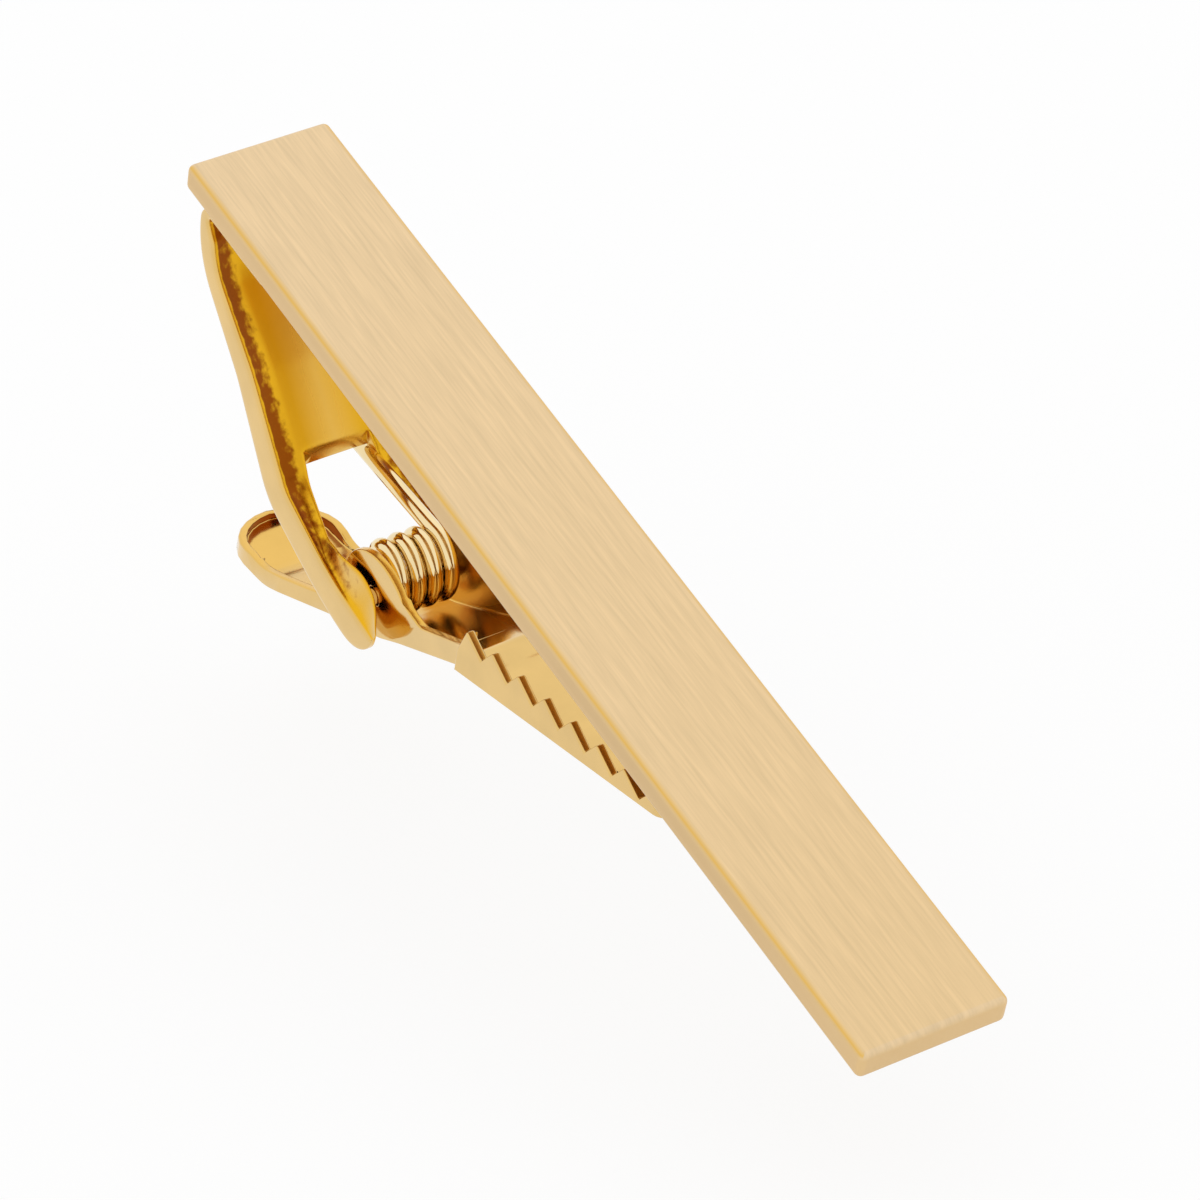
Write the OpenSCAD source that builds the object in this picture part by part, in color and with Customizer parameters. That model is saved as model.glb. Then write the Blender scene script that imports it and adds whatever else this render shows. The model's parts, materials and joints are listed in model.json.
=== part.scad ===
// Tie clip: a flat brushed bar with a sprung toothed clasp on its rear.
// The clip is modelled about its bar: x runs along the bar from the hinge end, y across it and z out of
// its front face. At the end the whole clip is tilted so that it stands on its thumb pad and free end.

/* [Bar] */
// Length of the bar
bar_l = 55; // [50:0.5:62]
// Width of the bar
bar_w = 7; // [6.8:0.1:9]
// Thickness of the bar
bar_t = 1.4; // [1.1:0.1:1.8]
// Radius of the bar's rounded edges
bar_edge = 0.22; // [0.1:0.02:0.4]

/* [Bracket] */
// Width of the bracket over its two flanks
bracket_w = 6.4; // [6.2:0.1:6.6]
// Thickness of the bracket's sheet
bracket_t = 0.5; // [0.4:0.05:0.6]
// Distance from the bar's hinge end to the back of the bend
hinge_inset = 1; // [0.8:0.1:1.6]
// Length of the flat foot that is soldered to the bar
foot_l = 6; // [4:0.5:6.5]
// Outer radius of the tight bend beside the foot
bend_r = 0.92; // [0.86:0.02:1.04]
// Radius of the shoulder below the bend
shoulder_r = 4.6; // [4.2:0.1:5]
// Angle between the bar and the arm below the shoulder
arm_angle = 43.2; // [42.2:0.2:44.2]
// Length of the straight arm below the shoulder
arm_l = 3.45; // [3.2:0.05:3.7]
// Angle between the bar and the lower arm, down to the knee
lower_angle = 52.2; // [51.2:0.2:53.2]
// Length of the straight lower arm
lower_l = 4.25; // [4:0.05:4.5]
// Angle between the bar and the two rails
rail_angle = 17; // [16:0.5:18]
// Length of the straight part of the rails
rail_l = 2.65; // [2.5:0.05:2.8]
// Height of the flanks at the rails
rail_h = 2; // [1.8:0.1:2.2]
// Depth of the dished front of the arm
dish_d = 0.5; // [0.4:0.05:0.55]
// Radius of the rails' round ends
tip_r = 2.2; // [2.1:0.05:2.3]

/* [Pivot] */
// Diameter of the hinge pin
pin_d = 0.8; // [0.7:0.05:0.9]
// Radial clearance of the pin in the lever
pin_clear = 0.04; // [0.02:0.01:0.08]
// Distance of the pin past the middle of the rails' round ends, along the bar
pin_along = 0.45; // [0.35:0.05:0.55]
// Height of the pin over the middle of the rails' round ends
pin_over = 0.4; // [0.3:0.05:0.5]
// Radius of the bracket's ears round the pin
ear_r = 0.85; // [0.8:0.05:0.95]
// Gap on each side between the bracket's ears and the lever
side_clear = 0.15; // [0.1:0.01:0.2]

/* [Jaw lever] */
// Width of the lever over its ears
lever_w = 4.4; // [4.3:0.05:4.5]
// Thickness of the lever's sheet
lever_t = 0.4; // [0.35:0.05:0.5]
// Distance from the pin to the nose of the jaw, along the bar
jaw_reach = 23.3; // [22.5:0.1:24]
// Width of the toothed jaw
jaw_w = 5.8; // [5.6:0.1:6.2]
// Width of the neck beside the jaw
neck_w = 5.1; // [4.9:0.05:5.2]
// Angle between the bar and the line of teeth
tooth_angle = 17; // [16:0.5:18]
// Angle between the bar and the rear of the jaw
jaw_angle = 22.5; // [21.5:0.5:23.5]
// Distance between the teeth
tooth_pitch = 2; // [1.6:0.1:2.4]
// Depth of the teeth
tooth_d = 0.95; // [0.7:0.05:1.1]
// Length of the jaw, from its nose to its shoulder
jaw_l = 15.7; // [15.3:0.1:16.1]
// Height of the jaw at its nose
nose_h = 1; // [0.9:0.1:1.3]
// Height of the lever's ears over the pin, before their tops are rounded
ear_h = 2.75; // [2.6:0.05:2.9]
// Distance from the pin to the rear face of the lever's tail
lever_back = 2.07; // [2.05:0.02:2.15]
// Angle between the bar and the tail of the lever
tail_angle = 31; // [30:0.5:33]
// Length of the tail from below the pin to the heel of the pad
tail_l = 10.75; // [10.3:0.05:11.2]
// Angle between the bar and the thumb pad
pad_angle = 12; // [8:1:16]
// Length of the thumb pad, from the heel to its tip
pad_l = 4.35; // [4.1:0.05:4.6]
// Width of the thumb pad
pad_w = 4.8; // [4.5:0.1:5.2]
// Height of the rim round the thumb pad
pad_h = 1; // [0.8:0.1:1.2]
// Radius of the bend between tail and pad
heel_r = 4; // [3:0.5:5]

/* [Spring] */
// Diameter of the spring wire
wire_d = 0.42; // [0.36:0.02:0.42]
// Mean radius of the coil
coil_r = 1.3; // [1.2:0.02:1.34]
// Whole turns of the coil, besides the part turn between its legs
whole_turns = 3; // [2:1:3]
// Length of the leg that bears on the bracket
bracket_leg = 7.6; // [7.3:0.1:7.9]
// Angle between the bar and that leg
bracket_leg_angle = 10; // [9.5:0.5:11]
// Length of the leg that bears on the lever
lever_leg = 5.2; // [4.5:0.1:6]

/* [Fit] */
// Thickness of the solder between the bar and the foot
solder_t = 0.06; // [0.04:0.01:0.1]
// Width of the bead that the solder leaves round the foot
solder_bead = 0.12; // [0.08:0.02:0.2]
// Gap left between the closed jaw and the bar
jaw_clear = 0.04; // [0.02:0.01:0.1]

/* [Hidden] */
gold = [0.93, 0.78, 0.42];
satin_gold = [0.91, 0.82, 0.62];
round_sides = 48;
overrun = 2;

// Small sizes of the bracket
crown_l = 0.1;
sway_r = 4.6;
knee_r = 3.5;
rail_bow_angle = 13;
rail_bow_r = 15.7;
arm_h = 1.35;
bend_dish_share = 0.4;
bend_height_share = 0.85;
shoulder_h = 1.25;
knee_dish_share = 0.3;
bow_rise_share = 0.5;
rim_r = 0.12;
corner_share = 0.3;
dish_span = 1.55;
dish_steps = 5;
window_half = 1.65;
window_x = 8.9;
window_flare = 4.7;
window_corner = 0.3;
ear_rise = 1.3;
ear_t = 0.5;
tip_flare = 0.45;
pin_seat = 0.35;
seat_clear = 0.01;
least_step = 0.02;

// Small sizes of the lever
pin_ahead = 0.85;
nose_lip = 1.2;
nose_corner = 0.8;
tooth_count = 7;
tooth_back_share = 0.35;
shoulder_rise = 1.35;
neck_dip = 0.95;
neck_run = 1.3;
jaw_heel_r = 1;
neck_bend_r = 6;
ear_top_ahead = 0.9;
ear_top_r = 2;
ear_back = 2.45;
ear_back_drop = 0.25;
ear_back_r = 1.2;
valley_ahead = 3.55;
valley_rise = 1.6;
valley_r = 1.5;
wall_start = 4;
taper_start = 3.4;
taper_end = 5.2;
flare_start = 2.3;
arc_steps = 8;

// Small sizes of the spring and its places
coil_gap = 0.15;
coil_back = 0.35;
coil_lift = 0.4;
leg_dip_angle = 6.5;
rings_per_turn = 8;
wire_sides = 6;

// Turning a direction into a vector, and the vector to its left
function way(a) = [cos(a), sin(a)];
function left(v) = [-v[1], v[0]];
function unit(v) = v / norm(v);

// A walk along the bracket: each leg is [length, turn, steps], each station [x, z, heading, distance]
function arc_leg(radius, turn, steps) = [radius * abs(turn) * PI / 180, turn, steps];
function chord(leg, f) = leg[1] == 0 ? f * leg[0] : leg[0] * sin(f * leg[1] / 2) * 360 / (PI * leg[1]);
function station(leg, from, f) =
    let (move = chord(leg, f) * way(from[2] + f * leg[1] / 2))
    [from[0] + move[0], from[1] + move[1], from[2] + f * leg[1], from[3] + f * leg[0]];
function walk(legs, from, i = 0) =
    i == len(legs) ? [] :
    let (here = [for (k = [1:legs[i][2]]) station(legs[i], from, k / legs[i][2])])
    concat(here, walk(legs, here[len(here) - 1], i + 1));
function beside(at, w) = [at[0], at[1]] + w * left(way(at[2]));

// The line of the bracket's rear edge, from the free end of the foot round to the ends of the rails
foot_start = [hinge_inset + bend_r + foot_l, -bar_t - solder_t, 180, 0];
bracket_legs = [
    [foot_l, 0, 1],
    arc_leg(bend_r, 90, 6),
    [crown_l, 0, 1],
    arc_leg(shoulder_r, 90 - arm_angle, 5),
    [arm_l, 0, 2],
    arc_leg(sway_r, arm_angle - lower_angle, 2),
    [lower_l, 0, 3],
    arc_leg(knee_r, lower_angle - rail_angle, 5),
    [rail_l, 0, 3],
    arc_leg(rail_bow_r, rail_bow_angle, 4),
    [tip_r, 0, 2]
];
stations = concat([foot_start], walk(bracket_legs, foot_start));
path_end = stations[len(stations) - 1];
bend_end_s = foot_l + bracket_legs[1][0];
shoulder_s = bend_end_s + crown_l + bracket_legs[3][0] / bracket_legs[3][2];
arm_s = bend_end_s + crown_l + bracket_legs[3][0];
knee_s = arm_s + arm_l + bracket_legs[5][0] + lower_l;
rail_s = knee_s + bracket_legs[7][0];
bow_s = rail_s + rail_l;
tip_s = bow_s + bracket_legs[9][0];

// Heights across the bracket's section at a distance along it
function flank_h(s) = lookup(s, [
    [foot_l, bracket_t], [bend_end_s, bend_r * bend_height_share], [shoulder_s, shoulder_h], [arm_s, arm_h],
    [knee_s, rail_h], [tip_s, rail_h]]);
function dish_at(s) = lookup(s, [
    [foot_l, 0], [bend_end_s, dish_d * bend_dish_share], [arm_s, dish_d], [arm_s + arm_l, dish_d],
    [knee_s, dish_d * knee_dish_share]]);
function rise_at(s) = lookup(s, [[rail_s, 0], [bow_s, ear_rise * bow_rise_share], [tip_s, ear_rise]]);
function inner_at(s) = lookup(s, [
    [knee_s, bracket_w / 2 - rim_r - dish_span], [bow_s, rail_gap_half - least_step]]);
rail_gap_half = lever_w / 2 + side_clear;

// One side of the section as [y, w] points, from the flank's rear edge up and in to the inner edge
function half_section(s) =
    let (
        h = bracket_w / 2, top = flank_h(s), dish = dish_at(s), inner = inner_at(s),
        lift = rise_at(s) > 0 ? dish + rise_at(s) : 0)
    concat(
        [[h, 0], [h, top - rim_r], [h - rim_r * corner_share, top - rim_r * corner_share]],
        [for (k = [0:dish_steps])
            let (u = k / dish_steps)
            [h - rim_r - u * (h - rim_r - inner), top - dish * sin(90 * u) + lift * u * u]]);
function section(s) =
    let (side = half_section(s), n = len(side))
    concat(side, [for (k = [n - 1:-1:0]) [-side[k][0], side[k][1]]]);

// The hollow behind the web, open to the rear between the two flanks
function hollow_section(s) =
    let (in = bracket_w / 2 - bracket_t, deep = flank_h(s) - dish_at(s) - bracket_t)
    [[in, -overrun], [in, deep], [-in, deep], [-in, -overrun]];
hollow_stations = [for (at = stations) if (at[3] >= bend_end_s - least_step) at];

function rings(line, rounds) = [for (i = [0:len(line) - 1])
    [for (q = rounds[i]) let (p = beside(line[i], q[1])) [p[0], q[0], p[1]]]];

// A closed skin over rings that all have the same number of points
module loft(rings) {
    n = len(rings[0]);
    last = len(rings) - 1;
    sides = [for (i = [0:last - 1], k = [0:n - 1])
        let (a = i * n + k, b = i * n + (k + 1) % n)
        each [[a, a + n, b + n], [a, b + n, b]]];
    caps = [[for (k = [0:n - 1]) k], [for (k = [n - 1:-1:0]) last * n + k]];
    polyhedron(points = [for (ring = rings) each ring], faces = concat(sides, caps), convexity = 10);
}

// A flat outline in x and z, given a thickness in y about the middle
module across(width) {
    rotate([90, 0, 0])
        linear_extrude(height = width, center = true)
            children();
}

// A rectangle with round corners about the origin
module round_rectangle(w, h, r) {
    square([w - 2 * r, h], center = true);
    square([w, h - 2 * r], center = true);
    for (x = [-1, 1], y = [-1, 1])
        translate([x * (w / 2 - r), y * (h / 2 - r)])
            circle(r, $fn = round_sides);
}

// The middle of the rails' round ends, and the pin
tip_middle = beside(path_end, tip_r) - tip_r * way(path_end[2]);
pivot = tip_middle + [pin_along, pin_over];

// A line through corners with each corner rounded, moved by a distance to its left
function corner_turn(a, b, c) =
    let (u = unit(b - a), v = unit(c - b))
    atan2(u[0] * v[1] - u[1] * v[0], u * v);
function corner_middle(a, b, c, r) =
    let (u = unit(b - a), turn = corner_turn(a, b, c))
    b - u * r * tan(abs(turn) / 2) + sign(turn) * r * left(u);
function corner_arc(a, b, c, r, move) =
    let (u = unit(b - a), turn = corner_turn(a, b, c), start = atan2(u[1], u[0]))
    [for (k = [0:arc_steps])
        corner_middle(a, b, c, r) + (move - sign(turn) * r) * left(way(start + turn * k / arc_steps))];
function rounded(pts, radii, move = 0) =
    let (last = len(pts) - 1)
    concat(
        [pts[0] + move * left(unit(pts[1] - pts[0]))],
        [for (i = [1:last - 1]) each corner_arc(pts[i - 1], pts[i], pts[i + 1], radii[i - 1], move)],
        [pts[last] + move * left(unit(pts[last] - pts[last - 1]))]);

// The lever's rear line, from the tip of the pad to the nose of the jaw
nose_x = pivot[0] + jaw_reach;
nose_top = -bar_t - jaw_clear;
nose_low = [nose_x, nose_top - nose_h];
jaw_heel = nose_low - [jaw_l, jaw_l * tan(jaw_angle)];
below_pin = pivot + [pin_ahead, pin_ahead * tan(tail_angle) - lever_back / cos(tail_angle)];
heel = below_pin - tail_l * way(tail_angle);
pad_tip = heel - pad_l * way(pad_angle);
rear_corners = [pad_tip, heel, below_pin, jaw_heel, nose_low];
rear_radii = [heel_r, neck_bend_r, jaw_heel_r];

// The free edge of the lever's walls, from the nose back over the teeth and ears to the pad
function tooth_line(d) = [nose_x - d, nose_top - d * tan(tooth_angle)];
teeth = [for (k = [0:tooth_count - 1])
    let (d = nose_lip + k * tooth_pitch)
    each [tooth_line(d), tooth_line(d + tooth_pitch * tooth_back_share) - [0, tooth_d]]];
last_tooth = tooth_line(nose_lip + tooth_count * tooth_pitch);
shoulder_top = jaw_heel + [0, shoulder_rise];
neck_top = shoulder_top - [neck_run, neck_dip];
tail_top = rounded([pad_tip, heel, below_pin - wall_start * way(tail_angle)], [heel_r], pad_h);
ear_edge = rounded(
    [neck_top, pivot + [valley_ahead, valley_rise], pivot + [ear_top_ahead, ear_h],
     pivot - [ear_back, ear_back_drop], tail_top[len(tail_top) - 1]],
    [valley_r, ear_top_r, ear_back_r]);
wall_edge = concat(
    [[nose_x, nose_top]], teeth, [last_tooth, shoulder_top, neck_top], ear_edge,
    [for (k = [len(tail_top) - 2:-1:0]) tail_top[k]]);

// Half widths of the lever along x, drawn in by the thickness of a wall for its hollow
function half_plan(inset) =
    let (pad = pad_w / 2 - inset, mid = pad_tip[0] + pad_w / 2, neck = lever_w / 2 - inset)
    concat(
        [for (a = [180:-15:90]) [mid, 0] + pad * way(a)],
        [[heel[0] + taper_start - pad_l / 2, pad], [heel[0] + taper_end, neck], [pivot[0] + flare_start, neck],
         [jaw_heel[0] + inset - least_step, neck_w / 2 - inset], [jaw_heel[0] + inset, jaw_w / 2 - inset]],
        inset > 0 ?
            [[nose_x + overrun, jaw_w / 2 - inset]] :
            [for (a = [90:-15:0]) [nose_x - nose_corner, jaw_w / 2 - nose_corner] + nose_corner * way(a)]);
module plan(inset) {
    side = half_plan(inset);
    linear_extrude(height = 2 * bar_l, center = true)
        polygon(concat(side, [for (k = [len(side) - 1:-1:0]) if (side[k][1] > 0) [side[k][0], -side[k][1]]]));
}

// The tilt and the place that stand the clip on a level surface
heel_middle = corner_middle(pad_tip, heel, below_pin, heel_r);
free_corner = [bar_l - bar_edge, bar_edge - bar_t];
stance = free_corner - heel_middle;
tilt = asin((heel_r - bar_edge) / norm(stance)) + atan2(stance[1], stance[0]);
function stood(p) = [p[0] * cos(tilt) + p[1] * sin(tilt), p[1] * cos(tilt) - p[0] * sin(tilt)];
far_left = stood(pad_tip)[0];
far_right = stood([bar_l - bar_edge, -bar_edge])[0] + bar_edge;
drop = stood(free_corner)[1] - bar_edge;
module stand() {
    translate([-(far_left + far_right) / 2, 0, -drop])
        rotate([0, tilt, 0])
            children();
}
function placed(p) = [stood(p)[0] - (far_left + far_right) / 2, stood(p)[1] - drop];

module bar() {
    color(satin_gold)
        stand()
            translate([bar_l / 2, 0, -bar_t / 2])
                intersection() {
                    linear_extrude(height = bar_t + overrun, center = true)
                        round_rectangle(bar_l, bar_w, bar_edge);
                    across(bar_w + overrun)
                        round_rectangle(bar_l, bar_t, bar_edge);
                    rotate([90, 0, 90])
                        linear_extrude(height = bar_l + overrun, center = true)
                            round_rectangle(bar_w, bar_t, bar_edge);
                }
}

module solder_seam() {
    color("silver")
        stand()
            translate([foot_start[0] - foot_l / 2, 0, -bar_t - solder_t])
                linear_extrude(height = solder_t)
                    round_rectangle(foot_l + 2 * solder_bead, bracket_w + 2 * solder_bead, solder_bead);
}

// The slot between the rails, seen along z: a window in the arm that opens out between the ears
module window() {
    flare = window_x + window_flare;
    low = pivot[1] - 3 * tip_r;
    side = [
        [window_x, window_half - window_corner],
        [window_x + window_corner * corner_share, window_half - window_corner * corner_share],
        [window_x + window_corner, window_half], [flare, rail_gap_half],
        [pivot[0] + ear_r, rail_gap_half], [tip_middle[0] + tip_r - tip_flare, bracket_w / 2 - tip_flare],
        [tip_middle[0] + tip_r, bracket_w / 2 - rim_r], [pivot[0] + 2 * tip_r, bracket_w / 2 - rim_r]];
    translate([0, 0, low])
        linear_extrude(height = foot_start[1] - bracket_t - overrun - low)
            polygon(concat(side, [for (k = [len(side) - 1:-1:0]) [side[k][0], -side[k][1]]]));
}

// The side view of everything short of the rails' round ends
module rail_ends() {
    translate([tip_middle[0] - 2 * bar_l, -bar_l])
        square([2 * bar_l, 2 * bar_l]);
    translate(tip_middle)
        circle(tip_r, $fn = 2 * round_sides);
}

module bracket_ear(side) {
    translate([0, side * (rail_gap_half + (ear_t - side_clear) / 2), 0])
        across(ear_t + side_clear) {
            translate(pivot)
                circle(ear_r, $fn = round_sides);
            translate(pivot)
                rotate(path_end[2] + rail_bow_angle / 2)
                    translate([-ear_r, -tip_r])
                        square([2 * ear_r, tip_r]);
        }
}

module bracket() {
    color(gold)
        stand()
            difference() {
                union() {
                    intersection() {
                        loft(rings(stations, [for (at = stations) section(at[3])]));
                        across(bracket_w + overrun)
                            rail_ends();
                    }
                    for (side = [-1, 1])
                        bracket_ear(side);
                }
                window();
                loft(rings(hollow_stations, [for (at = hollow_stations) hollow_section(at[3])]));
                translate([pivot[0], 0, pivot[1]])
                    rotate([90, 0, 0])
                        cylinder(h = 2 * (rail_gap_half + pin_seat), d = pin_d + 2 * seat_clear, center = true,
                            $fn = round_sides);
            }
}

module pivot_pin() {
    color(gold)
        stand()
            translate([pivot[0], 0, pivot[1]])
                rotate([90, 0, 0])
                    cylinder(h = 2 * (rail_gap_half + pin_seat - seat_clear), d = pin_d, center = true,
                        $fn = round_sides);
}

// The middle line of the spring wire: one leg, the coil about the pin, and the other leg
coil_middle = pivot + [-coil_back, coil_lift];
coil_half = lever_w / 2 - lever_t - coil_gap - wire_d / 2;
first_a = 90 + bracket_leg_angle;
lever_leg_angle = tail_angle + leg_dip_angle;
last_a = lever_leg_angle - 90 - 360 * whole_turns;
coil_steps = ceil((first_a - last_a) / 360 * rings_per_turn);
function coil_at(f) =
    let (a = first_a + f * (last_a - first_a))
    [coil_middle[0] + coil_r * cos(a), coil_half - 2 * coil_half * f, coil_middle[1] + coil_r * sin(a)];
function leg_point(start, angle, reach) = start - reach * [cos(angle), 0, sin(angle)];
wire_line = concat(
    [leg_point(coil_at(0), bracket_leg_angle, bracket_leg), leg_point(coil_at(0), bracket_leg_angle, wire_d)],
    [for (k = [0:coil_steps]) coil_at(k / coil_steps)],
    [leg_point(coil_at(1), lever_leg_angle, wire_d), leg_point(coil_at(1), lever_leg_angle, lever_leg)]);
least_gap = min([for (i = [0:len(wire_line) - 1], j = [0:len(wire_line) - 1])
    if (j - i >= rings_per_turn - 2) norm(wire_line[i] - wire_line[j])]) - wire_d;
echo(spring_least_gap = least_gap, turns = (first_a - last_a) / 360);

// Rings of the wire stand square to its line and share one direction, along the pin
function wire_ring(i) =
    let (
        last = len(wire_line) - 1,
        ahead = unit(wire_line[min(last, i + 1)] - wire_line[max(0, i - 1)]),
        outward = unit(cross(ahead, [0, 1, 0])),
        side = cross(ahead, outward))
    [for (k = [0:wire_sides - 1])
        wire_line[i] + wire_d / 2 * (cos(k * 360 / wire_sides) * outward + sin(k * 360 / wire_sides) * side)];

module torsion_spring() {
    color(gold)
        stand()
            loft([for (i = [0:len(wire_line) - 1]) wire_ring(i)]);
}

module jaw_lever() {
    hollow = rounded(rear_corners, rear_radii, lever_t);
    color(gold)
        stand()
            difference() {
                intersection() {
                    across(2 * bar_w)
                        polygon(concat(rounded(rear_corners, rear_radii), wall_edge));
                    plan(0);
                }
                intersection() {
                    across(2 * bar_w)
                        polygon(concat(
                            [hollow[0] - [overrun, 0]], hollow, [hollow[len(hollow) - 1] + [overrun, 0]],
                            [[nose_x + overrun, overrun], [pad_tip[0] - overrun, overrun]]));
                    plan(lever_t);
                }
                translate([pivot[0], 0, pivot[1]])
                    rotate([90, 0, 0])
                        cylinder(h = 2 * bar_w, d = pin_d + 2 * pin_clear, center = true, $fn = round_sides);
            }
}

echo(pivot_at = placed(pivot), tilt = tilt, origin_at = placed([0, 0]));

bar();
solder_seam();
bracket();
pivot_pin();
torsion_spring();
jaw_lever();
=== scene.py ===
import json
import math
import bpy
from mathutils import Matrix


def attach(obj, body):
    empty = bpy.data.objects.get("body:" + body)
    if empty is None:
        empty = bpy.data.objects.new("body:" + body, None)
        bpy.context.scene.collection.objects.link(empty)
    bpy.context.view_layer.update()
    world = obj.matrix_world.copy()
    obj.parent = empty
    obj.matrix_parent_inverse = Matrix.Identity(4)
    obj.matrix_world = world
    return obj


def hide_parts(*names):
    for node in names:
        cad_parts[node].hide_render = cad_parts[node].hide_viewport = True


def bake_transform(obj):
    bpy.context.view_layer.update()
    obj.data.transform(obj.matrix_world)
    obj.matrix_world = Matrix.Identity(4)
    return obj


bl_info = {
    "name": "Brushed Tie Clip",
    "version": (1, 0, 0),
    "blender": (4, 5, 0),
    "location": "3D View > Sidebar > Tie Clip",
    "description": "Bar, bracket, toothed lever and wound spring of a tie clip, on a plain studio floor",
    "category": "Object",
}

import bmesh
import bpy
from bpy.props import FloatProperty, FloatVectorProperty, IntProperty, PointerProperty
from mathutils import Matrix, Vector

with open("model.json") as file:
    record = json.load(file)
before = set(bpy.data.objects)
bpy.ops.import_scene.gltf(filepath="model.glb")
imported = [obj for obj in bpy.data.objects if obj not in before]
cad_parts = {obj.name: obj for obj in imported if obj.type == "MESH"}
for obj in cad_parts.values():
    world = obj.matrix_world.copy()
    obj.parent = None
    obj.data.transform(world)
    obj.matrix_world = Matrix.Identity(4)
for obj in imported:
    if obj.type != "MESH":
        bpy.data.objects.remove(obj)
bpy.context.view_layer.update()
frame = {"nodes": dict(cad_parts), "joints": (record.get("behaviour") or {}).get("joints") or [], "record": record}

MM = 0.001
BAR_LENGTH = 55.0
BAR_FRONT = next(m for m in frame["record"]["mounts"] if m["name"] == "bar_front")
TILT = math.atan2(BAR_FRONT["axis"][0], BAR_FRONT["axis"][2])

# Millimetres in the clip's own axes (x along the bar, y across it, z out of its front) to the frame
STAND = (
    Matrix.Translation(BAR_FRONT["pos_m"])
    @ Matrix.Rotation(TILT, 4, "Y")
    @ Matrix.Diagonal((MM, MM, MM, 1))
    @ Matrix.Translation((-BAR_LENGTH / 2, 0, 0))
)
PIVOT = STAND.inverted() @ Vector(frame["joints"][0]["pos_m"])


# Shared making


def placed(bm, name, material):
    """Makes an object of a mesh that is already in metres"""
    mesh = bpy.data.meshes.new(name)
    bm.to_mesh(mesh)
    bm.free()
    mesh.materials.append(material)
    piece = bpy.data.objects.new(name, mesh)
    bpy.context.scene.collection.objects.link(piece)
    return piece


def finished(bm, name, body, slot):
    """Puts a mesh made in the clip's millimetres in its place, with its slot's finish, on its body"""
    bm.transform(STAND)
    piece = placed(bm, name, shared_gold(slot))
    piece.data.shade_smooth()
    if body:
        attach(piece, body)
    return piece


def way(angle):
    """A direction in the clip's side view, as x and z"""
    return Vector((math.cos(angle), math.sin(angle)))


def between(table, at):
    """A value read from a table of places and values, straight between them"""
    if at <= table[0][0]:
        return table[0][1]
    for (a, u), (b, v) in zip(table, table[1:]):
        if at <= b:
            return u + (v - u) * (at - a) / (b - a)
    return table[-1][1]


def sharp_edges(bm, angle):
    """Edges at which a mesh turns by more than an angle in degrees"""
    return [e for e in bm.edges if len(e.link_faces) == 2 and e.calc_face_angle() > math.radians(angle)]


def round_edges(bm, edges, radius, segments, clamp=False):
    """Rounds edges by a radius in millimetres"""
    bmesh.ops.bevel(
        bm, geom=edges, offset=radius, segments=segments, profile=0.5, affect="EDGES", material=-1,
        clamp_overlap=clamp,
    )


def paint_points(bm, name, share):
    """Paints each point with the share that a rule gives for its place and normal"""
    bm.normal_update()
    layer = bm.verts.layers.float.new(name)
    for vert in bm.verts:
        vert[layer] = min(1.0, max(0.0, share(vert.co, vert.normal)))


# Materials


def add_node(tree, kind, inputs, **settings):
    """Adds a node with its settings. Each input takes a value, or the socket that feeds it"""
    node = tree.nodes.new(kind)
    for name, value in settings.items():
        setattr(node, name, value)
    for name, value in inputs.items():
        if isinstance(value, bpy.types.NodeSocket):
            tree.links.new(value, node.inputs[name])
        else:
            node.inputs[name].default_value = value
    return node


def new_material(name):
    """A material, its node tree and its shader"""
    material = bpy.data.materials.new(name)
    material.use_nodes = True
    return material, material.node_tree, material.node_tree.nodes["Principled BSDF"]


def opaque(colour, tone=1.0):
    """A colour with full alpha, made lighter or darker by a tone"""
    return (*[min(1.0, c * tone) for c in colour], 1.0)


def stretched(tree, vector, scale):
    """A vector with a scale of its own each way"""
    return add_node(tree, "ShaderNodeMapping", {"Vector": vector, "Scale": scale}).outputs["Vector"]


def noise(tree, vector, scale, detail):
    """Noise of a given fineness"""
    texture = add_node(tree, "ShaderNodeTexNoise", {"Vector": vector, "Scale": scale, "Detail": detail})
    return texture.outputs["Fac"]


def worked_out(tree, operation, *values):
    """The result of a sum on sockets and numbers"""
    return add_node(tree, "ShaderNodeMath", dict(enumerate(values)), operation=operation).outputs[0]


def spread_over(tree, value, low, high):
    """A value from 0 to 1 spread over the range between two others"""
    stretch = add_node(tree, "ShaderNodeMapRange", {"Value": value, "To Min": low, "To Max": high})
    return stretch.outputs["Result"]


def two_tones(tree, share, first, second):
    """A ramp between two tones, each with its position"""
    ramp = add_node(tree, "ShaderNodeValToRGB", {"Fac": share})
    for stop, (position, tone) in zip(ramp.color_ramp.elements, (first, second)):
        stop.position = position
        stop.color = tone
    return ramp.outputs["Color"]


def blended(tree, first, second, share):
    """Two colours blended by a share"""
    return add_node(tree, "ShaderNodeMix", {0: share, 6: first, 7: second}, data_type="RGBA").outputs[2]


def painted(tree, name):
    """A share painted on the points of a piece"""
    return add_node(tree, "ShaderNodeAttribute", {}, attribute_name=name).outputs["Fac"]


def add_bump(tree, shader, height, strength, distance):
    """Makes a finish uneven, by a distance in metres"""
    bump = add_node(tree, "ShaderNodeBump", {"Strength": strength, "Distance": distance, "Height": height})
    tree.links.new(bump.outputs["Normal"], shader.inputs["Normal"])


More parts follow.
